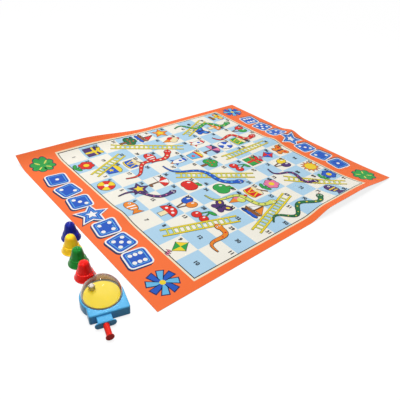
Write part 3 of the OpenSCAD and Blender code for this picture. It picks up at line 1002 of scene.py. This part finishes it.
def draw_tiles(side):
    """Faces of dice, and a star amid them, in a row along one end of the mat."""
    for k, face in enumerate(TILE_ROW):
        x = (k - len(TILE_ROW) // 2) * TILE_STEP
        tilt = TILE_TILT if k % 2 else -TILE_TILT
        tile = softened(slab(0, 0, TILE, TILE), TILE_CORNER)
        body = moved(tile, x, 0, tilt) if face else star(x, STAR_Y, 5, *STAR_R)
        inner = grown(body, -TILE_BAND if face else -STAR_BAND)
        put_down(side, "navy", [(px + SHADOW.x, py + SHADOW.y) for px, py in body], 0, TILE_EDGE)
        put_down(side, "white", body, 1, TILE_EDGE)
        put_down(side, "blue", body, 2)
        put_down(side, "sky", inner, 3)
        put_down(side, "blue", grown(inner, -TILE_LINE), 4)
        for column, row in PIPS.get(face, []):
            at = moved([(column * PIP_STEP, row * PIP_STEP)], x, 0, tilt)[0]
            put_down(side, "white", disc(*at, PIP_R), 5)
        if not face:
            put_down(side, "white", star(x, STAR_Y, 5, *STAR_HEART_R), 5)


def draw_clover(side):
    """A corner ornament: four leaves of two lobes each, with a pale vein."""
    for turn in (45, 135, 225, 315):
        leaf_at = moved([(15, 0)], -ORNAMENT_X, 0, turn)[0]
        for half in (-1, 1):
            lobe_at = moved([(2, half * 7)], *leaf_at, turn)[0]
            lobe = disc(*lobe_at, 12, 9, turn + half * 25)
            put_down(side, "navy", lobe, 0, ORNAMENT_EDGE)
            put_down(side, "green", lobe, 2)
        put_down(side, "lime", disc(*leaf_at, 8, 2, turn), 4)
    put_down(side, "green", disc(-ORNAMENT_X, 0, 7), 3)


def draw_pinwheel(side):
    """A corner ornament: eight blades about a button."""
    for k in range(8):
        blade = moved([(0, 0), (30, 4), (26, 16), (10, 10)], ORNAMENT_X, 0, 45 * k)
        put_down(side, "navy", blade, 0, ORNAMENT_EDGE)
        put_down(side, ("blue", "sky")[k % 2], blade, 2)
    put_down(side, "yellow", disc(ORNAMENT_X, 0, 6), 4)


NUMBER_H = 13.0
NUMBER_BOLD = 0.02
NUMBER_PLACES = [(0, 0), (-18, 19), (18, 19), (-18, -19), (18, -19)]
NUMBER_ROOM = 9.0


def number_place(number):
    """The first place in a square that is clear of pictures, ladders and snakes, or else the clearest."""
    def room(at):
        return min((at - middle).length - radius for middle, radius in in_the_way)

    places = [spot(number) + Vector(offset) for offset in NUMBER_PLACES]
    clear = [at for at in places if room(at) > NUMBER_ROOM]
    return clear[0] if clear else max(places, key=room)


def make_numbers():
    """The numbers of the squares, as flat meshes joined into one."""
    deselect()
    texts = []
    for number in range(1, SIDE * SIDE + 1):
        at = number_place(number) * MM
        bpy.ops.object.text_add(location=(at.x, at.y, (LIFT + LAYERS["number"] * LAYER) * MM))
        text = bpy.context.object
        text.data.body = str(number)
        text.data.size = NUMBER_H * MM
        text.data.offset = NUMBER_BOLD * NUMBER_H * MM
        text.data.align_x = "CENTER"
        text.data.align_y = "CENTER"
        text.data.resolution_u = 3
        texts.append(text)
    for text in texts:
        text.select_set(True)
    bpy.ops.object.convert(target="MESH")
    bpy.ops.object.join()
    numbers = named("numbers")
    bpy.ops.object.transform_apply(location=True, rotation=True, scale=True)
    return numbers


def press(name):
    """One flat object with every shape of an ink."""
    deselect()
    sheet = None
    for outline, layer in shapes[name]:
        bpy.ops.mesh.primitive_circle_add(vertices=len(outline), fill_type="NGON")
        if sheet is None:
            sheet = named("flat_" + name)
            bpy.ops.object.mode_set(mode="EDIT")
        form = bmesh.from_edit_mesh(sheet.data)
        form.verts.ensure_lookup_table()
        for vertex, (x, y) in zip(form.verts[-len(outline):], outline):
            vertex.co = (x * MM, y * MM, (LIFT + layer * LAYER) * MM)
    bpy.ops.mesh.select_all(action="SELECT")
    bpy.ops.mesh.quads_convert_to_tris()
    bpy.ops.object.mode_set(mode="OBJECT")
    return sheet


def cut_lines():
    """Distances across the mat at which the print is cut: close together on the curl and the fold line."""
    curl_end = LEFT_CURL / MM - MAT_W / MM / 2
    fold_start = FOLD_FAR_X / MM - FOLD_REACH * FOLD_W / MM
    fold_end = FOLD_NEAR_X / MM + FOLD_REACH * FOLD_W / MM
    lines = []
    x = -MAT_W / MM / 2
    while x < MAT_W / MM / 2:
        curved = x < curl_end or fold_start < x < fold_end
        x += FOLLOW_CURVE if curved else FOLLOW
        lines.append(x)
    return lines


def lay_print(sheet):
    """Cuts the flat print into short stretches and lays it on the waves of the mat."""
    open_mesh(sheet)
    rows = [k * FOLLOW - MAT_L / MM / 2 for k in range(1, int(MAT_L / MM / FOLLOW))]
    for axis, lines in ((Vector((1, 0, 0)), cut_lines()), (Vector((0, 1, 0)), rows)):
        for line in lines:
            bpy.ops.mesh.select_all(action="SELECT")
            bpy.ops.mesh.bisect(plane_co=axis * line * MM, plane_no=axis)
    bpy.ops.mesh.select_all(action="SELECT")
    bpy.ops.mesh.quads_convert_to_tris()
    bpy.ops.mesh.select_mode(type="FACE")
    bpy.ops.mesh.select_all(action="DESELECT")
    form = bmesh.from_edit_mesh(sheet.data)
    for face in form.faces:
        face.select_set(face.normal.z < 0)
    bpy.ops.mesh.flip_normals()
    close_mesh(sheet)
    for vertex in sheet.data.vertices:
        vertex.co.z += mat_height(vertex.co.x, vertex.co.y) + MAT_T


def make_print():
    """Every ink of the print as one piece that lies on the mat."""
    draw_pictures()
    for ends in LADDERS:
        draw_ladder(*ends)
    for snake in SNAKES:
        draw_snake(*snake)
    for side in (-1, 1):
        draw_tiles(side)
        draw_clover(side)
        draw_pinwheel(side)
    inks = {name: ink(name, code) for name, code in INKS.items()}
    numbers = make_numbers()
    numbers.data.materials.clear()
    numbers.data.materials.append(inks["black"])
    sheets = [numbers]
    for name in INKS:
        sheet = press(name)
        sheet.data.materials.append(inks[name])
        sheets.append(sheet)
    take(numbers)
    for sheet in sheets:
        sheet.select_set(True)
    bpy.ops.object.join()
    lay_print(numbers)
    take(numbers)
    bpy.ops.mesh.separate(type="MATERIAL")
    pieces = list(bpy.context.selected_objects)
    for piece in pieces:
        material = piece.material_slots[0].material
        piece.name = material.name.replace("ink_", "print_")
        piece.data.name = piece.name
        fit(piece, "mat", "mat_print", material)
    return pieces


# Pawns

def pawn_cone(inset, steps=12):
    """Half outline of the pawn's cone and rounded top, drawn in from its outside."""
    foot_r = PAWN_CONE_R - inset
    top_r = PAWN_TOP_R - inset
    top_z = PAWN_H - PAWN_TOP_R
    drop = PAWN_SKIRT_H - top_z
    tangent = math.atan2(drop, foot_r) + math.acos(top_r / math.hypot(foot_r, drop))
    turns = [tangent + (math.pi / 2 - tangent) * k / steps for k in range(steps)]
    arc = [(top_r * math.cos(a), top_z + top_r * math.sin(a)) for a in turns]
    return [(foot_r, PAWN_SKIRT_H)] + arc + [(0.0, PAWN_H - inset)]


def make_pawn():
    """Hollow cone with a rounded top, standing on the ledge of a flared skirt with a lip."""
    skirt_r = PAWN_R - PAWN_LIP
    ledge_r = PAWN_CONE_R + PAWN_LEDGE
    lip = [(PAWN_R, 0.0), (PAWN_R, PAWN_LIP_H), (skirt_r, PAWN_LIP_H)]
    outside = lip + [(ledge_r, PAWN_SKIRT_H)] + pawn_cone(0.0)
    under_ledge = (ledge_r - PAWN_WALL, PAWN_SKIRT_H - PAWN_WALL)
    inside = [(skirt_r - PAWN_WALL, 0.0), under_ledge] + pawn_cone(PAWN_WALL)
    pawn = turned("pawn", softened(outside + inside[::-1], PAWN_EDGE), 96)
    smooth(pawn, 50)
    return pawn


def make_pawns():
    """The four pawns, alike but for their colours."""
    model = make_pawn()
    pawns = []
    for colour, code in PAWN_COLOURS.items():
        take(model)
        bpy.ops.object.duplicate()
        pawn = named("pawn_" + colour + "_turned")
        low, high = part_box("pawn_" + colour)
        place(pawn, Matrix.Translation(((low.x + high.x) / 2, (low.y + high.y) / 2, 0)))
        material = plastic("pawn_" + colour + "_plastic", code, PAWN_GLOSS, PAWN_GLOW)
        fit(pawn, colour + "_pawn", "pawn_" + colour + "_plastic", material, "pawn_" + colour)
        pawns.append(pawn)
    bpy.data.objects.remove(model)
    return pawns


# Dice popper

def housing_outline(inset):
    """Outline of the housing from above: a round body with a squared front."""
    radius = BODY_R - inset
    right = -(BODY_R - RIGHT_STEP) + inset
    front = FRONT_X - inset
    meet = math.asin(right / radius)
    start, stop = math.pi / 2, math.tau + meet
    steps = 60
    turns = [start + (stop - start) * k / steps for k in range(steps + 1)]
    round_part = [(radius * math.cos(a), radius * math.sin(a)) for a in turns]
    return softened(round_part + [(front, right), (front, radius)], CORNER_R, 6)


def stadium(half_length, radius, steps=16):
    """Outline of a bar with round ends, along its first axis."""
    points = []
    for end in (1, -1):
        for k in range(steps + 1):
            a = math.pi * k / steps - end * math.pi / 2
            points.append((end * half_length + radius * math.cos(a), radius * math.sin(a)))
    return points


def on_rod(piece, x):
    """Lays a piece that was made along Z on the axis of the plunger rod."""
    place(piece, Matrix.Translation((x, ROD_Y, ROD_Z)) @ Matrix.Rotation(math.pi / 2, 4, "Y"))


def make_neck():
    """Neck between the body and the finger flange, which it runs into."""
    low = (FRONT_X - WALL, ROD_Y - NECK_W / 2, FLANGE_GROUND)
    high = (FRONT_X + NECK_L + NECK_OVERLAP, ROD_Y + NECK_W / 2, NECK_TOP)
    neck = box_between("neck", low, high)
    bevel_where(neck, lambda co: True, NECK_EDGE, 3)
    return neck


def make_flange():
    """Finger flange with round ends, across the rod."""
    height = 2 * (ROD_Z - FLANGE_GROUND)
    flange = raised("flange", stadium((FLANGE_W - height) / 2, height / 2), 0, FLANGE_T)
    bevel_where(flange, lambda co: True, FLANGE_T / 3, 3)
    place(flange, Matrix.Rotation(math.pi / 2, 4, "Z"))
    on_rod(flange, FRONT_X + NECK_L)
    return flange


def make_housing():
    """Moulded shell with its deck, dome groove, neck and finger flange."""
    housing = raised("housing_shell", housing_outline(0), 0, BODY_H)
    bevel_where(housing, lambda co: co.z > BODY_H - TINY, EDGE_R, 6)
    combine(housing, raised("cavity", housing_outline(WALL), -WALL, BODY_H - DECK_T), "DIFFERENCE")
    combine(housing, turned("plate_hole", cylinder(PLATE_HOLE_R, 0.0, 2 * BODY_H)), "DIFFERENCE")
    inner, outer = DOME_R - DOME_WALL - GROOVE_GAP, DOME_R + GROOVE_GAP
    low, high = BODY_H - GROOVE_H, 2 * BODY_H
    groove = [(inner, low), (outer, low), (outer, high), (inner, high)]
    combine(housing, turned("groove", groove), "DIFFERENCE")
    combine(housing, make_neck(), "UNION")
    combine(housing, make_flange(), "UNION")
    bore = turned("bore", cylinder(ROD_R + BORE_GAP, 0.0, NECK_L + FLANGE_T + 2 * WALL))
    on_rod(bore, FRONT_X - 1.5 * WALL)
    combine(housing, bore, "DIFFERENCE")
    smooth(housing, 40)
    modify(housing, "WEIGHTED_NORMAL", keep_sharp=True)
    place(housing, POPPER)
    fit(housing, "popper", "housing_plastic", housing_plastic(), "housing")


def half_sphere(radius, steps=28):
    """Half outline of a half sphere on the deck."""
    turns = [math.pi / 2 * k / steps for k in range(steps)]
    arc = [(radius * math.cos(a), BODY_H + radius * math.sin(a)) for a in turns]
    return arc + [(0.0, BODY_H + radius)]


def make_dome():
    """Clear half sphere whose rim stands in the groove of the deck; its inside has a faint brown tint of
    smoked plastic.
    """
    inner_r = DOME_R - DOME_WALL
    rim = [(inner_r, BODY_H - GROOVE_H), (DOME_R, BODY_H - GROOVE_H)]
    dome = turned("dome_clear", rim + half_sphere(DOME_R) + half_sphere(inner_r)[::-1], 96)
    smooth(dome, 40)
    # Outer surface: brown tint at steep slants, partly smoked plastic and partly painted reflection of a dark
    # room
    fit(dome, "popper", "clear_plastic", clear_plastic("clear_plastic", "#8A6A46", 0.5, 0.85), "dome")
    dome.data.materials.append(clear_plastic("clear_plastic_inside", "#5C3009", -1.0, 0.0))
    middle = Vector((0, 0, BODY_H))
    for face in dome.data.polygons:
        on_inside = (face.center - middle).length < (DOME_R + inner_r) / 2
        face.material_index = int(on_inside and face.center.z > BODY_H)
    place(dome, POPPER)


def make_plunger():
    """Rod with a flared thumb head, and the spigot that carries the slide and the spring."""
    shoulder = BAR_X + BAR_T
    nose_x = BAR_X - NOSE_L
    head_x = FRONT_X + NECK_L + FLANGE_T + ROD_SHOW
    end = head_x + HEAD_L
    nose = [(0.0, nose_x), (NOSE_R, nose_x), (NOSE_R, BAR_X)]
    spigot = [(SPIGOT_R, BAR_X), (SPIGOT_R, shoulder), (ROD_R, shoulder)]
    steps = 8
    flare = []
    for a in [math.pi / 2 * k / steps for k in range(steps + 1)]:
        radius = ROD_R + (HEAD_R - ROD_R) * (1 - math.cos(a))
        flare.append((radius, head_x + (HEAD_L - HEAD_RIM) * math.sin(a)))
    face = [(HEAD_R, end), (HEAD_R - HEAD_RIM, end), (0.0, end - HEAD_DISH)]
    plunger = turned("plunger_turned", softened(nose + spigot + flare + face, PLUNGER_EDGE), 64)
    smooth(plunger, 40)
    on_rod(plunger, 0)
    place(plunger, POPPER)
    fit(plunger, "plunger_set", "plunger_plastic", plastic("plunger_plastic", "#FA3024"), "plunger")


# Turns about X and Y, in degrees, that bring the top of the die to the face of each value
DIE_FACES = {2: (0, 0), 1: (90, 0), 3: (0, 90), 4: (0, -90), 6: (-90, 0), 5: (180, 0)}
DIE_TURN = math.radians(36.7)
DIE_EDGE = 1.2 * MM
PIP_SHARE = 0.115


def make_die():
    """Rounded cube with dished dark pips; opposite faces add up to seven."""
    low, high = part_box("die")
    size = high.z - low.z
    die = box_between("die_cube", [-size / 2] * 3, [size / 2] * 3)
    bevel_where(die, lambda co: True, DIE_EDGE, 4)
    die.data.materials.append(plastic("die_plastic", "#F6F5F0"))
    dark = plastic("pip_paint", "#22222A")
    pip_r = PIP_SHARE * size
    for value, (about_x, about_y) in DIE_FACES.items():
        tip = Matrix.Rotation(math.radians(about_x), 4, "X")
        roll = Matrix.Rotation(math.radians(about_y), 4, "Y")
        for column, row in PIPS[value]:
            deselect()
            bpy.ops.mesh.primitive_ico_sphere_add(subdivisions=2, radius=pip_r)
            dish = named("dish")
            dish.data.materials.append(dark)
            at = (column * size / 4, row * size / 4, size / 2 + pip_r / 2)
            place(dish, tip @ roll @ Matrix.Translation(at))
            combine(die, dish, "DIFFERENCE", material_mode="TRANSFER")
    smooth(die, 40)
    yaw = Matrix.Rotation(POPPER_YAW + DIE_TURN, 4, "Z")
    place(die, Matrix.Translation((low + high) / 2) @ yaw)
    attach(die, "dice")
    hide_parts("die")


def make_spring():
    """Return spring between the base plate's stop and the wedge slide, made at its rest length; the real one
    shortens as the plunger goes in.
    """
    wire_r = 0.25 * MM
    mean_r = 2.05 * MM
    curls = 12
    steps = 24
    start = 6.75 * MM
    end = BAR_X - wire_r - SLIDE_GAP
    deselect()
    bpy.ops.mesh.primitive_circle_add(vertices=10, radius=wire_r, location=(mean_r, 0, 0),
                                      rotation=(math.pi / 2, 0, 0))
    spring = named("spring_coil")
    bpy.ops.object.transform_apply(location=True, rotation=True, scale=True)
    modify(spring, "SCREW", axis="Z", angle=math.tau, screw_offset=(end - start) / curls, iterations=curls,
           steps=steps, render_steps=steps)
    open_mesh(spring)
    bpy.ops.mesh.select_non_manifold()
    bpy.ops.mesh.fill_holes(sides=0)
    bpy.ops.mesh.select_all(action="SELECT")
    bpy.ops.mesh.normals_make_consistent(inside=False)
    close_mesh(spring)
    smooth(spring, 50)
    on_rod(spring, start)
    place(spring, POPPER)
    fit(spring, "popper", "spring_steel", steel("spring_steel", "#C9C9CC"), "return_spring")
    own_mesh(spring)


def dress_inner_pieces():
    """Finishes of the CAD nodes that stay in view."""
    zinc = steel("screw_steel", "#D0D2D6")
    for node in ("base_screws", "plate_screw", "slide_pin"):
        dress(node, zinc)
    dress("base_plate", plastic("base_plastic", "#4FAEE6"))
    dress("tumble_plate", plastic("plate_plastic", "#FFE92C"))
    dress("wedge_slide", plastic("slide_plastic", "#ECEAE4"))


# Camera, light and floor

def make_camera():
    """The photograph's camera."""
    bpy.ops.object.camera_add()
    camera = bpy.context.object
    up = CAMERA_RIGHT.cross(CAMERA_FORWARD)
    turn = Matrix((CAMERA_RIGHT, up, -CAMERA_FORWARD)).transposed().to_4x4()
    camera.matrix_world = Matrix.Translation(CAMERA_AT) @ turn
    camera.data.lens = CAMERA_LENS
    camera.data.sensor_width = SENSOR_W
    bpy.context.scene.camera = camera


def seen_by_camera(tree):
    """One on rays that reach here from the camera straight, by a mirror or through glass, else zero."""
    path = put(tree, "LightPath")
    glossy = sums(tree, "MAXIMUM", path.outputs["Is Glossy Ray"], path.outputs["Is Transmission Ray"])
    straight = sums(tree, "LESS_THAN", path.outputs["Diffuse Depth"], 0.5)
    return sums(tree, "MULTIPLY", sums(tree, "MAXIMUM", path.outputs["Is Camera Ray"], glossy), straight)


def add_lamp(toward, heading, reach, size, energy):
    """A square lamp at some reach from a point, turned to it; it isn't seen through the clear dome."""
    bpy.ops.object.light_add(type="AREA", location=heading.normalized() * reach + toward)
    lamp = bpy.context.object
    lamp.data.energy = energy
    lamp.data.size = size
    lamp.rotation_euler = (-heading).to_track_quat("-Z", "Y").to_euler()
    lamp.visible_transmission = False
    return lamp


def make_light(pawns):
    """A wide soft lamp overhead, small ones for the highlights and a soft one that lights only the pawns."""
    bpy.ops.object.light_add(type="SUN")
    key = bpy.context.object
    key.data.energy = KEY
    key.data.angle = math.radians(KEY_ANGLE)
    key.rotation_euler = KEY_TOWARD.to_track_quat("-Z", "Y").to_euler()
    key.visible_glossy = False
    key.visible_transmission = False
    for heading in LAMPS:
        add_lamp(POPPER_AT, heading, LAMP_REACH, LAMP_SIZE, LAMP)
    lit = bpy.data.collections.new("lit_by_pawn_lamp")
    for pawn in pawns:
        lit.objects.link(pawn)
    low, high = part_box("pawn_green")
    soft = add_lamp((low + high) / 2, PAWN_LAMP_HEADING, PAWN_LAMP_REACH, PAWN_LAMP_SIZE, PAWN_LAMP)
    soft.light_linking.receiver_collection = lit


def make_surround():
    """A surround that looks white to the camera and gives a dim light."""
    world = bpy.data.worlds.new("studio")
    bpy.context.scene.world = world
    world.use_nodes = True
    tree = world.node_tree
    strength = spread(tree, seen_by_camera(tree), SURROUND, 1.0)
    feed(tree, tree.nodes["Background"], {"Color": WHITE, "Strength": strength})


def make_floor():
    """White floor that keeps a faint shadow of the object."""
    deselect()
    bpy.ops.mesh.primitive_plane_add(size=FLOOR_SIZE)
    floor = named("floor")
    material, tree, shader = start_material("floor_paper")
    seen = seen_by_camera(tree)
    feed(tree, shader, {
        "Base Color": blended(tree, seen, linear("#5E5E5E"), linear("#8E8E8E")),
        "Roughness": 1.0,
        "Specular IOR Level": 0.0,
        "Emission Color": WHITE,
        "Emission Strength": sums(tree, "MULTIPLY", seen, FLOOR_GLOW),
    })
    floor.data.materials.append(material)
    floor.location.z = -FLOOR_DROP


make_camera()
mat = make_mat()
fit(mat, "mat", "mat_print", mat_print(), "play_mat")
printed = make_print()
pawns = make_pawns()
make_housing()
make_dome()
make_plunger()
make_die()
make_spring()
dress_inner_pieces()
make_floor()
make_light(pawns)
make_surround()
bpy.context.scene.view_settings.view_transform = "Standard"
